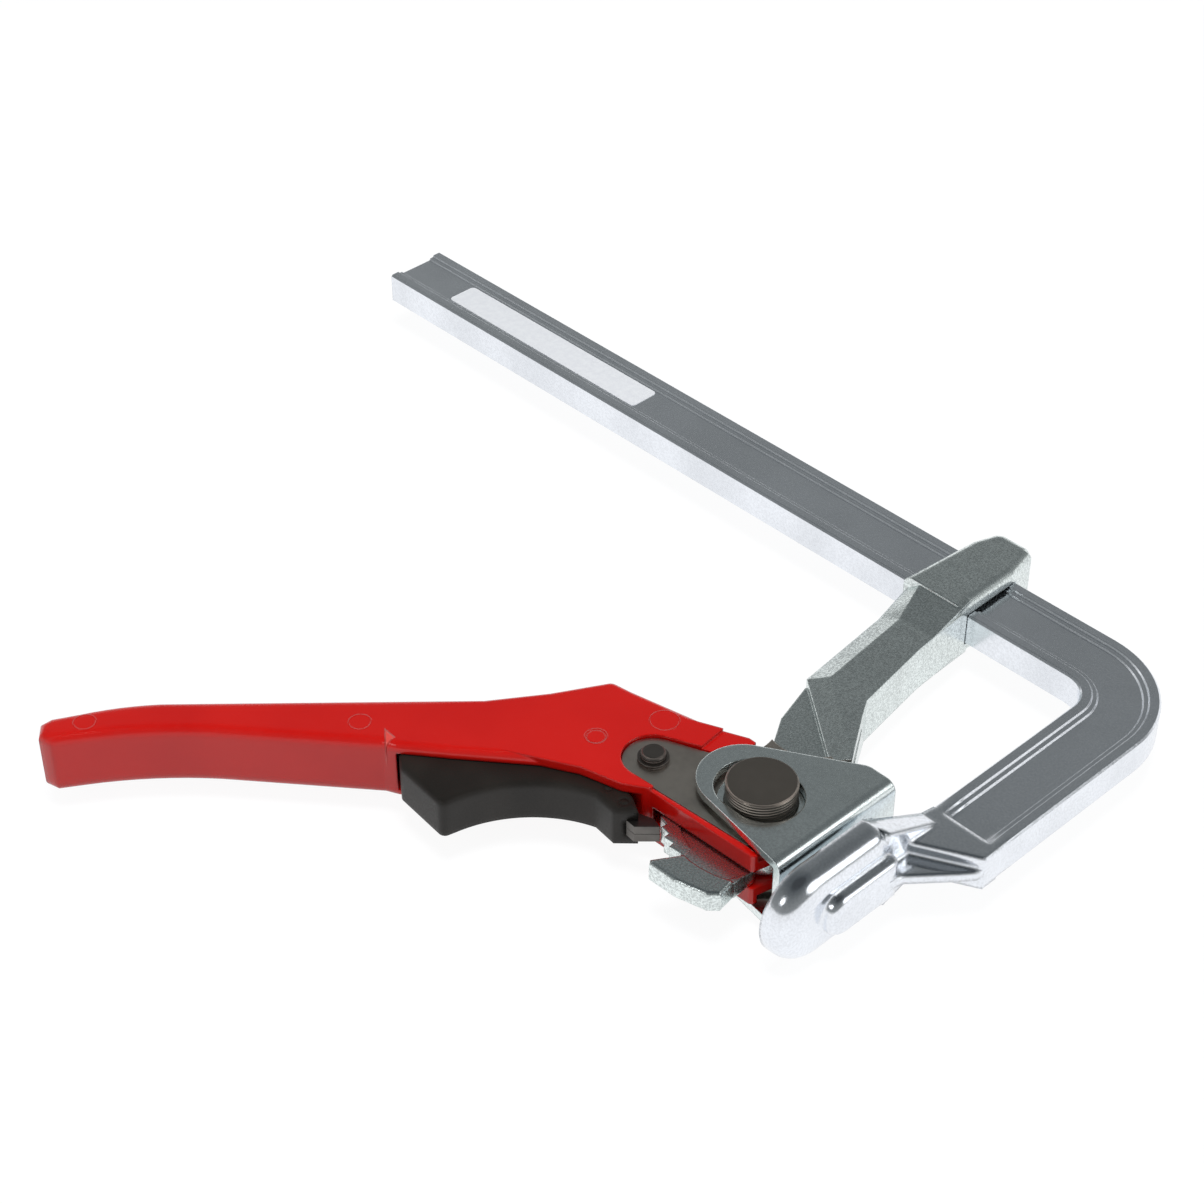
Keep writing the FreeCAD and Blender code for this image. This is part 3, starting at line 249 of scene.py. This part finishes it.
def shaded(colour, share):
    """A colour at a share of its brightness."""
    return tone(*(part * share for part in colour[:3]))


print("shader helpers ready")

# %% [markdown]
# ## Zinc plate on steel
# Zinc plate is a true metal: all of its colour is reflection. What lies under the plate gives it its look.
# The rail is drawn and nearly smooth, and ends in a forged head whose edges are rounder and brighter. The arm
# is blasted before plating, so it is covered in pits of about half a millimetre. The bracket is rolled sheet.
# An image of speckle could be laid on, but noise in the object's own space has no seams. The pits lean the
# normal, and their floors are painted darker, a painted shade in each pit, so the arm sparkles.

# %% One recipe for zinc
WAVE_SCALE, STAIN_SCALE = 130.0, 38.0
STAIN_SHARE, STAIN_ROUGHNESS = 0.9, 0.04
# The pits' floors are painted darker at this share: painted shade in each pit.
PIT_SHADE_SHARE = 0.4
HEAD_START, HEAD_FULL = -44.0 * MM, -34.0 * MM
HEAD_FRONT, HEAD_BACK = 4.0 * MM, 0.0
HEAD_EDGE, HEAD_POLISH = 2.2 * MM, 0.08


def zinc(name, colour, rough, pit_depth, pit_scale, pit_shade, wave_height, edge, forged=False):
    """Zinc over pits and slow waves. The pit shade argument is how much darker the pit floors are painted, a
    painted shade in each pit, and forged says that the piece ends in a forged head, smoother and rounder than
    its drawn length."""
    metal = new_finish(name)
    pits = metal.noise(pit_scale, 1.0, 0.5)
    stain = metal.steps(metal.noise(STAIN_SCALE, 3.0, 0.6), 0.35, 0.7)
    shade = metal.blend(stain, colour, shaded(colour, STAIN_SHARE))
    # Painted shade: the pit floors are painted darker than the plate around them.
    shade = metal.blend(metal.steps(pits, 0.3, 0.7) * pit_shade, shade, shaded(colour, PIT_SHADE_SHARE))
    roughness = metal.steps(pits, 0.3, 0.75, rough * 0.8, rough * 1.25) + stain * STAIN_ROUGHNESS
    normal = metal.soft_edges(edge)
    if forged:
        x, y, z = metal.axes()
        head = metal.steps(y, HEAD_START, HEAD_FULL) * metal.steps(x, HEAD_FRONT, HEAD_BACK)
        normal = metal.between(head, normal, metal.soft_edges(HEAD_EDGE))
        roughness = roughness - head * HEAD_POLISH
    normal = metal.bump(metal.noise(WAVE_SCALE, 2.0, 0.5), wave_height, normal)
    normal = metal.bump(pits, pit_depth, normal)
    return metal.surface(Base_Color=shade, Metallic=1.0, Roughness=roughness, Normal=normal)


print("zinc recipe ready")

# %% Drawn, blasted and rolled zinc
zinc_rail = zinc(
    "zinc_rail",
    tone(0.87, 0.90, 0.95),
    rough=0.2,
    pit_depth=0.002 * MM,
    pit_scale=1500.0,
    pit_shade=0.12,
    wave_height=0.05 * MM,
    edge=0.3 * MM,
    forged=True,
)
zinc_arm = zinc(
    "zinc_arm",
    tone(0.88, 0.95, 0.94),
    rough=0.26,
    pit_depth=0.04 * MM,
    pit_scale=1800.0,
    pit_shade=0.6,
    wave_height=0.1 * MM,
    edge=0.7 * MM,
)
zinc_sheet = zinc(
    "zinc_sheet",
    tone(0.88, 0.95, 0.95),
    rough=0.2,
    pit_depth=0.004 * MM,
    pit_scale=1500.0,
    pit_shade=0.25,
    wave_height=0.05 * MM,
    edge=0.6 * MM,
)
print("three zinc finishes")

# %% [markdown]
# ## Dark hardened steel and bright wire
# The cam plates and pawls are hardened and oiled, which leaves a brown-black skin that still shines. The cam
# plates are ground, so fine lines cross them: noise that is squeezed along one axis gives the lines without
# drawing any of them. The pawls have no grain direction, and neither does the spring's wire.

# %% Ground and plain steel
STEEL_EDGE = 0.3 * MM
LINE_SCALE, OIL_SCALE = 900.0, 90.0
OIL_SHARE, OIL_ROUGHNESS = 0.7, 0.12
EVEN, GROUND = (1.0, 1.0, 1.0), (0.08, 1.4, 1.0)


def dark_steel(name, colour, rough, stretch, line_depth):
    metal = new_finish(name)
    lines = metal.noise(LINE_SCALE, 2.0, 0.6, stretch)
    oil = metal.noise(OIL_SCALE, 3.0, 0.6)
    shade = metal.blend(metal.steps(oil, 0.3, 0.75), colour, shaded(colour, OIL_SHARE))
    normal = metal.bump(lines, line_depth, metal.soft_edges(STEEL_EDGE))
    roughness = metal.steps(oil, 0.3, 0.8, rough, rough + OIL_ROUGHNESS)
    return metal.surface(Base_Color=shade, Metallic=1.0, Roughness=roughness, Normal=normal)


cam_steel = dark_steel("cam_steel", tone(0.60, 0.54, 0.48), 0.3, GROUND, 0.02 * MM)
pawl_steel = dark_steel("pawl_steel", tone(0.17, 0.16, 0.15), 0.4, EVEN, 0.02 * MM)
wire = dark_steel("spring_wire", tone(0.5, 0.5, 0.5), 0.25, EVEN, 0.01 * MM)
print("cams, pawls and wire")

# %% [markdown]
# ## Turned pins
# The big pin and the cam rivet come off a lathe, so fine rings run round their sides. Their axis is Z, which
# makes the rings a sine of the height alone. On the flat ends the height is the same all over, and the rings
# vanish there by themselves.

# %% Turned steel
RING_HEIGHT = 0.06 * MM
FINE_SCALE, FINE_DEPTH = 2200.0, 0.01 * MM
WEAR_SCALE, WEAR_SHARE, WEAR_ROUGHNESS = 160.0, 1.06, 0.06


def turned_steel(name, colour, rough, pitch):
    metal = new_finish(name)
    height = metal.axes()[2]
    rings = metal.node("Math", {"operation": "SINE"}, {0: height * (2 * math.pi / pitch)})
    wear = metal.noise(WEAR_SCALE, 4.0, 0.65)
    shade = metal.blend(metal.steps(wear, 0.4, 0.75), colour, shaded(colour, WEAR_SHARE))
    normal = metal.bump(rings, RING_HEIGHT, metal.soft_edges(STEEL_EDGE))
    normal = metal.bump(metal.noise(FINE_SCALE), FINE_DEPTH, normal)
    roughness = metal.steps(wear, 0.3, 0.8, rough, rough + WEAR_ROUGHNESS)
    return metal.surface(Base_Color=shade, Metallic=1.0, Roughness=roughness, Normal=normal)


pin_steel = turned_steel("pin_steel", tone(0.27, 0.235, 0.205), 0.32, 0.9 * MM)
rivet_steel = turned_steel("rivet_steel", tone(0.17, 0.15, 0.135), 0.38, 0.7 * MM)
print("pin and rivet")

# %% [markdown]
# ## Red powder coat
# The lever is a die casting under thick gloss paint. Paint pools a little, so its skin has a slow orange
# peel. Under it the marks of the die's ejector pins still show as rings, and a small raised chip stands up
# on the grip. These are a fraction of a millimetre high, too little for the solid, so each is worked out from
# its distance to a circle or to the sides of a triangle, and leans the normal. The chip's face is also painted
# a lighter red, a painted highlight where the raised facet catches the light. The grip's edges are rounder
# than those of the forked end.

# %% Marks in the casting
EJECTOR_MARKS = ((64.6, -3.8, 4.0), (72.7, 13.8, 3.0), (120.4, 55.5, 3.0), (171.1, 108.7, 3.0))
MARK_WIDTH, MARK_HEIGHT = 0.35 * MM, 0.18 * MM
MOULD_CHIP = ((108.8, 56.8), (114.3, 52.2), (109.0, 52.4))
CHIP_SLOPE, CHIP_HEIGHT = 0.6 * MM, 0.5 * MM
CHIP_LEVEL = 8.0 * MM


def ejector_rings(paint, x, y):
    rings = None
    for centre_x, centre_y, radius in EJECTOR_MARKS:
        away = ((x - centre_x * MM) ** 2.0 + (y - centre_y * MM) ** 2.0) ** 0.5
        off = paint.node("Math", {"operation": "ABSOLUTE"}, {0: away - radius * MM})
        ring = 1.0 - paint.steps(off, 0.0, MARK_WIDTH)
        rings = ring if rings is None else rings + ring
    return rings


def mould_chip(paint, x, y, z):
    """1 inside the chip's three sides, on the upper face alone."""
    inside = None
    for (ax, ay), (bx, by) in zip(MOULD_CHIP, MOULD_CHIP[1:] + MOULD_CHIP[:1]):
        run, rise = bx - ax, by - ay
        off = ((y - ay * MM) * run - (x - ax * MM) * rise) / (-math.hypot(run, rise))
        inside = off if inside is None else paint.node("Math", {"operation": "MINIMUM"}, {0: inside, 1: off})
    return paint.steps(inside, 0.0, CHIP_SLOPE) * paint.steps(z, 0.0, CHIP_LEVEL)


print(len(EJECTOR_MARKS), "ejector marks and a chip")

# %% Red paint
PEEL_SCALE, PEEL_HEIGHT = 420.0, 0.012 * MM
POOL_SCALE = 30.0
GRIP_START, GRIP_FULL = 105.0 * MM, 115.0 * MM
FORK_EDGE, GRIP_EDGE = 0.9 * MM, 3.2 * MM
# The chip's lighter red and its share are a painted highlight on the raised facet.
CHIP_HIGHLIGHT_TONE, CHIP_HIGHLIGHT_SHARE = tone(0.75, 0.10, 0.08), 0.7


def red_paint():
    paint = new_finish("red_paint")
    x, y, z = paint.axes()
    chip = mould_chip(paint, x, y, z)
    peel = paint.noise(PEEL_SCALE)
    pool = paint.steps(paint.noise(POOL_SCALE), 0.3, 0.7)
    shade = paint.blend(pool, tone(0.56, 0.006, 0.003), tone(0.51, 0.004, 0.002))
    # Painted highlight: the chip's face is painted a lighter red.
    shade = paint.blend(chip * CHIP_HIGHLIGHT_SHARE, shade, CHIP_HIGHLIGHT_TONE)
    grip = paint.steps(x, GRIP_START, GRIP_FULL)
    normal = paint.between(grip, paint.soft_edges(FORK_EDGE), paint.soft_edges(GRIP_EDGE))
    normal = paint.bump(peel, PEEL_HEIGHT, normal)
    normal = paint.bump(ejector_rings(paint, x, y), MARK_HEIGHT, normal)
    normal = paint.bump(chip, CHIP_HEIGHT, normal)
    roughness = paint.steps(peel, 0.3, 0.7, 0.17, 0.22)
    gloss = {"Coat_Weight": 0.15, "Coat_Roughness": 0.08, "IOR": 1.45}
    return paint.surface(Base_Color=shade, Roughness=roughness, Normal=normal, **gloss)


red = red_paint()
print("red paint ready")

# %% [markdown]
# ## Black nylon and label film
# The trigger is glass-filled nylon from a spark-eroded mould, so it is matt and finely grained, and its edges
# are well rounded. Its brown-black is darker than it looks, because the grain scatters the light of the lamps.
# The label is a plain white film with nothing on it, a little wavy where it was pressed on by hand.

# %% Plastic and film
NYLON_EDGE = 2.6 * MM
FILM_WAVE_SCALE, FILM_WAVE = 90.0, 0.05 * MM


def nylon():
    plastic = new_finish("black_nylon")
    grain = plastic.noise(2600.0, 3.0, 0.6)
    cloud = plastic.steps(plastic.noise(60.0), 0.3, 0.7)
    shade = plastic.blend(cloud, tone(0.012, 0.010, 0.008), tone(0.019, 0.016, 0.013))
    normal = plastic.bump(grain, 0.04 * MM, plastic.soft_edges(NYLON_EDGE))
    roughness = plastic.steps(grain, 0.3, 0.7, 0.42, 0.55)
    return plastic.surface(Base_Color=shade, Roughness=roughness, Normal=normal, Specular_IOR_Level=0.35)


def label_film():
    film = new_finish("label_film")
    fibre = film.noise(500.0, 4.0, 0.6)
    shade = film.blend(film.steps(fibre, 0.3, 0.7), tone(0.8, 0.81, 0.82), tone(0.74, 0.75, 0.77))
    normal = film.bump(film.noise(FILM_WAVE_SCALE), FILM_WAVE)
    return film.surface(Base_Color=shade, Roughness=film.steps(fibre, 0.3, 0.7, 0.28, 0.38), Normal=normal)


black = nylon()
label = label_film()
print("plastic and film")

# %% [markdown]
# ## The trigger's spring
# A small compression spring pushes the trigger out of the lever. It is one round wire wound on a mandrel, so
# its shape follows a rule: a point that goes round while it climbs. The points could be worked out in a loop
# and joined by hand. A node tree says the same rule with a few named sizes: it draws the spiral, sweeps a
# round wire along it and turns it into its seat in the slot.

# %% The spring's place and sizes
SPRING_FOOT = Vector((100.716, 29.479, 0.0)) * MM
SPRING_AXIS = Vector((-0.74279, 0.66953, 0.0)).normalized()
SPRING_START = Vector((0.44827, 0.49732, 0.74279)).normalized()
SPRING_SIZES = {
    "coil_radius": 2.4 * MM,
    "wire_radius": 0.4 * MM,
    "length": 4.87 * MM,
    "turns": 4.5,
}
POINTS_A_TURN, WIRE_SIDES = 40, 16
print("spring of", SPRING_SIZES["turns"], "turns")

# %% The rule of a coil spring


def grow(tree, kind, **inputs):
    """One node of a geometry tree, from numbers and links. Underscores in the names stand for spaces."""
    made = tree.nodes.new("GeometryNode" + kind)
    for name, given in inputs.items():
        socket = made.inputs[name.replace("_", " ")]
        if isinstance(given, bpy.types.NodeSocket):
            tree.links.new(given, socket)
        else:
            socket.default_value = given
    return made.outputs[0]


def spring_tree():
    """The rule of a coil spring, with its sizes as named inputs."""
    tree = bpy.data.node_groups.new("coil_spring", "GeometryNodeTree")
    face = tree.interface
    for name, size in SPRING_SIZES.items():
        face.new_socket(name, in_out="INPUT", socket_type="NodeSocketFloat").default_value = size
    face.new_socket("finish", in_out="INPUT", socket_type="NodeSocketMaterial")
    face.new_socket("spring", in_out="OUTPUT", socket_type="NodeSocketGeometry")
    given = tree.nodes.new("NodeGroupInput").outputs
    spiral = grow(
        tree,
        "CurveSpiral",
        Resolution=POINTS_A_TURN,
        Rotations=given["turns"],
        Start_Radius=given["coil_radius"],
        End_Radius=given["coil_radius"],
        Height=given["length"],
    )
    section = grow(tree, "CurvePrimitiveCircle", Resolution=WIRE_SIDES, Radius=given["wire_radius"])
    swept = grow(tree, "CurveToMesh", Curve=spiral, Profile_Curve=section, Fill_Caps=True)
    turned = Matrix((SPRING_START, SPRING_AXIS.cross(SPRING_START), SPRING_AXIS)).transposed()
    seated = grow(tree, "Transform", Geometry=swept, Translation=SPRING_FOOT, Rotation=turned.to_euler())
    real = grow(tree, "RealizeInstances", Geometry=seated)
    coloured = grow(tree, "SetMaterial", Geometry=real, Material=given["finish"])
    done = tree.nodes.new("NodeGroupOutput")
    tree.links.new(coloured, done.inputs["spring"])
    return tree


print("spring rule ready")

# %% Wind the spring and seat it


def wind_spring(finish):
    """Runs the rule once on an empty mesh, and gives the result as a plain mesh."""
    tree = spring_tree()
    blank = bpy.data.objects.new("spring_blank", bpy.data.meshes.new("spring_blank"))
    bpy.context.scene.collection.objects.link(blank)
    maker = blank.modifiers.new("coil", "NODES")
    maker.node_group = tree
    for item in tree.interface.items_tree:
        if item.in_out == "INPUT":
            maker[item.identifier] = finish if item.name == "finish" else SPRING_SIZES[item.name]
    wound = blank.evaluated_get(bpy.context.evaluated_depsgraph_get())
    mesh = bpy.data.meshes.new_from_object(wound)
    bpy.data.objects.remove(blank)
    mesh.name = "coil_spring"
    mesh.polygons.foreach_set("use_smooth", [True] * len(mesh.polygons))
    return mesh


spring_mesh = wind_spring(wire)
spring = bpy.data.objects.new("coil_spring", spring_mesh)
bpy.context.scene.collection.objects.link(spring)
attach(spring, "lever")
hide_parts("trigger_spring")
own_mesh(spring)
print("spring wound,", len(spring_mesh.polygons), "faces")

# %% [markdown]
# ## Measure the spring
# A swept mesh can come out inside in, which no picture from outside shows. Its signed volume tells: it is
# above nothing when the faces point outwards. The spans, beside the solid's own, show that it sits in its
# seat to within half a millimetre. It winds the other way round than the solid.

# %% Volume and spans
measure = bmesh.new()
measure.from_mesh(spring_mesh)
print("spring volume", round(measure.calc_volume(signed=True) / MM**3, 2), "cubic mm")
measure.free()
for axis, (low, high) in enumerate(zip(*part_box("trigger_spring"))):
    places = [vertex.co[axis] / MM for vertex in spring_mesh.vertices]
    solid = (round(low / MM, 1), round(high / MM, 1))
    print("XYZ"[axis], "wound", (round(min(places), 1), round(max(places), 1)), "solid", solid)

# %% [markdown]
# ## Put each finish on its nodes
# Shape and finish could be made together, but the solids' shapes are right as they are. So each keeps its
# mesh and only gets a material. The trigger's pin is painted together with the lever, and the pawl's rivets
# are as black as the trigger. The wound spring takes the solid one's place, which still gets its finish.

# %% Finishes by node
FINISHES = {
    "rail_and_fixed_jaw": zinc_rail,
    "sliding_arm": zinc_arm,
    "pressure_bracket": zinc_sheet,
    "rail_label": label,
    "lever_handle": red,
    "trigger": black,
    "trigger_spring": wire,
    "pivot_pin": pin_steel,
    "cam_rivet": rivet_steel,
    "rivet_collar_top": rivet_steel,
    "rivet_collar_bottom": rivet_steel,
    "trigger_pin": red,
    "cam_plate_top": cam_steel,
    "cam_plate_bottom": cam_steel,
    "pivot_washer_top": zinc_sheet,
    "pivot_washer_bottom": zinc_sheet,
    "pawl_plate_top": pawl_steel,
    "pawl_plate_bottom": pawl_steel,
    "pawl_rivet_front": black,
    "pawl_rivet_rear": black,
}
for name, material in FINISHES.items():
    mesh = nodes[name].data
    mesh.materials.clear()
    mesh.materials.append(material)
print("finishes on", len(FINISHES), "nodes")

# %% [markdown]
# ## The table
# The clamp lies on a white table. Lamps bright enough to make the table white would bleach the zinc, so the
# table glows for the camera and in reflections, and is a pale cloth to all other light. A little of the cloth
# is left in what the camera sees, which keeps the clamp's soft shadow.

# %% A white table
TABLE_HALF, TABLE_GAP = 3.0, 0.2 * MM
GLOW_STRENGTH, GLOW_SHARE = 1.09, 0.85
WHITE = tone(1.0, 1.0, 1.0)


def stage_mesh(name, corners, faces, material):
    mesh = bpy.data.meshes.new(name)
    mesh.from_pydata(corners, [], faces)
    mesh.materials.append(material)
    plane = bpy.data.objects.new(name, mesh)
    bpy.context.scene.collection.objects.link(plane)


def table_material():
    """White to the camera and in mirrors, and pale cloth under the lamps to everything else."""
    top = new_finish("table_white")
    cloth = top.node("BsdfDiffuse", None, {"Color": tone(0.62, 0.63, 0.65)})
    glow = top.node("Emission", None, {"Color": WHITE, "Strength": GLOW_STRENGTH})
    return top.close(top.node("MixShader", None, {0: top.seen() * GLOW_SHARE, 1: cloth, 2: glow}))


floor = cad_box[0][2] - TABLE_GAP
corners = []
for across, along in ((-1, -1), (1, -1), (1, 1), (-1, 1)):
    corners.append((across * TABLE_HALF, along * TABLE_HALF, floor))
stage_mesh("table", corners, [(0, 1, 2, 3)], table_material())
print("table", round(floor / MM, 1), "mm below the rail's middle")

# %% [markdown]
# ## A ring of grey card
# Bright metal shows its surroundings more than its own colour, so those are part of the finish. In a white
# room zinc is white all over. A photographer hangs grey cards, and here they stand in a ring, so that the
# clamp looks alike from every side: mid grey near the table, darker above, with a dark ceiling. Faces that
# look up take the grey, and edges that turn away from it sweep through the dark to the white table. Only
# reflections see the cards. Soft light takes them for the pale room, and the camera looks through them.

# %% Cards that only reflections see
ROOM_TINT, ROOM_LIGHT = tone(0.9, 0.94, 1.0), 0.45
RING_SIDES = 48
RING_FOOT, RING_TOP = (1.9, 0.45), (0.9, 2.6)
LAMP_AIM = Vector((0.08, -0.02, 0.0))
GREY_LOW, GREY_HIGH = tone(0.25, 0.262, 0.262), tone(0.085, 0.095, 0.10)
CEILING_TONE = tone(0.045, 0.05, 0.054)


def card_material(name, low, high):
    """One tone at the ring's foot and another at its top."""
    card = new_finish(name)
    light = card.outputs("LightPath")
    height = card.axes()[2]
    shade = card.blend(card.steps(height, RING_FOOT[1], RING_TOP[1]), low, high)
    shown = card.node("Emission", None, {"Color": shade, "Strength": 1.0})
    room = card.node("Emission", None, {"Color": ROOM_TINT, "Strength": ROOM_LIGHT})
    clear = card.node("BsdfTransparent", None, {"Color": WHITE})
    mirrored, straight = Value(card, light["Is Glossy Ray"]), Value(card, light["Is Camera Ray"])
    lit = card.node("MixShader", None, {0: mirrored, 1: room, 2: shown})
    return card.close(card.node("MixShader", None, {0: straight, 1: lit, 2: clear}))


def ring_of_points(radius, height):
    """Points round the clamp, at one height."""
    turn = 2 * math.pi / RING_SIDES
    points = []
    for step in range(RING_SIDES):
        angle = turn * step
        points.append((LAMP_AIM.x + radius * math.cos(angle), LAMP_AIM.y + radius * math.sin(angle), height))
    return points


foot_ring, top_ring = ring_of_points(*RING_FOOT), ring_of_points(*RING_TOP)
walls = []
for step in range(RING_SIDES):
    after = (step + 1) % RING_SIDES
    walls.append((step, after, after + RING_SIDES, step + RING_SIDES))
stage_mesh("grey_cove", foot_ring + top_ring, walls, card_material("grey_cove_tone", GREY_LOW, GREY_HIGH))
ceiling = card_material("dark_ceiling_tone", CEILING_TONE, CEILING_TONE)
stage_mesh("dark_ceiling", top_ring, [tuple(range(RING_SIDES))], ceiling)
print("ring of", len(walls), "cards and a ceiling")

# %% [markdown]
# ## Three lamps
# The key lamp hangs nearly overhead and makes the colours about as bright as they are written. Mirrors don't
# show it, because it would draw a white line along the grip that the photograph hasn't got. Two weak lamps
# add little light and are there to be mirrored: one by the jaw and the bracket, the other by the lever.

# %% Lamps


def lamp(name, spot, size, watts, mirrored):
    """mirrored says whether polished faces show the lamp itself or only its light."""
    data = bpy.data.lights.new(name, "AREA")
    data.shape = "DISK"
    data.size = size
    data.energy = watts
    holder = bpy.data.objects.new(name, data)
    bpy.context.scene.collection.objects.link(holder)
    holder.location = spot
    holder.rotation_euler = (LAMP_AIM - Vector(spot)).to_track_quat("-Z", "Y").to_euler()
    holder.visible_glossy = mirrored
    return holder


lamps = [
    lamp("key", (-0.12, 0.2, 1.4), size=0.5, watts=12.5, mirrored=False),
    lamp("jaw_strip", (-1.0, -0.55, 0.85), size=0.85, watts=3.0, mirrored=True),
    lamp("lever_strip", (0.14, 0.95, 0.8), size=0.3, watts=0.8, mirrored=True),
]
print(len(lamps), "lamps")

# %% [markdown]
# ## The room
# Behind everything is a world of one colour. It is plain white to the camera and in mirrors, which gives the
# picture its white ground, and a dimmer, slightly blue room to all other light.

# %% World and view


def studio_world():
    room = Finish(bpy.data.worlds.new("studio"))
    dim = room.node("Background", None, {"Color": ROOM_TINT, "Strength": ROOM_LIGHT})
    white = room.node("Background", None, {"Color": WHITE, "Strength": 1.0})
    return room.close(room.node("MixShader", None, {0: room.seen(), 1: dim, 2: white}), "World")


bpy.context.scene.world = studio_world()
bpy.context.scene.view_settings.view_transform = "Standard"
print("world", bpy.context.scene.world.name)

# %% [markdown]
# ## The box of the solids
# Looks mustn't change the clamp's size. The box of the solids was kept at the start.

# %% Finish
print("finished")
